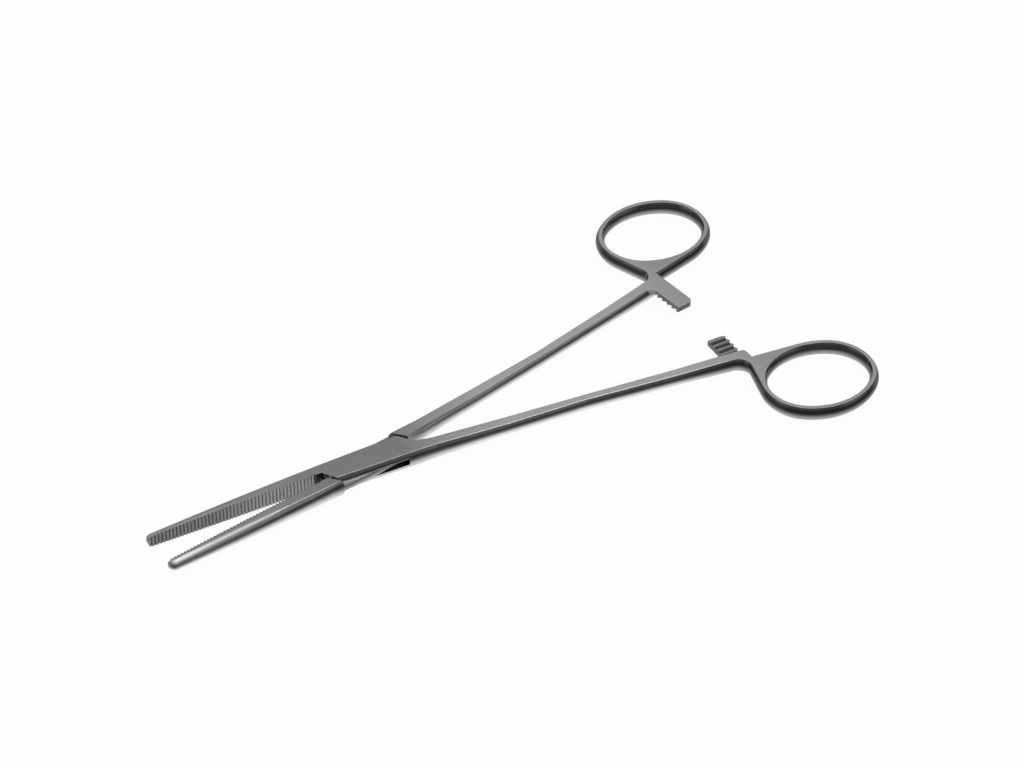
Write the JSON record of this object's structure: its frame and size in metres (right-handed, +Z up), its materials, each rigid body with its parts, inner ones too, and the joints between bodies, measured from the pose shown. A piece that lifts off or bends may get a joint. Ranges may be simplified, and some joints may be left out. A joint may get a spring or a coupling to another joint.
{
  "type": "haemostatic forceps",
  "caption": "Straight haemostatic forceps with serrated jaws, box lock, ring handles and a toothed ratchet, lying flat and slightly open.",
  "frame": {"origin": "on the pivot axis at the underside of the box lock, the plane the forceps rest on", "axes": "+X from the pivot towards the finger rings, midway between the halves; +Y towards the tongue half's ring; +Z up, along the pivot axis"},
  "size_m": [0.1774, 0.094, 0.0044],
  "materials": {
    "steel": "satin ground flats, polished rounded sides",
    "pin": "satin, ground flush with the box"
  },
  "bodies": {
    "box": {"box_half": "steel", "pivot_pin": "pin"},
    "tongue": {"tongue_half": "steel"}
  },
  "joints": [
    {"name": "box_lock", "type": "hinge", "parent": "box", "child": "tongue", "pos_m": [0, 0, 0.0022], "axis": [0, 0, 1], "range_deg": [-9, 40]}
  ]
}
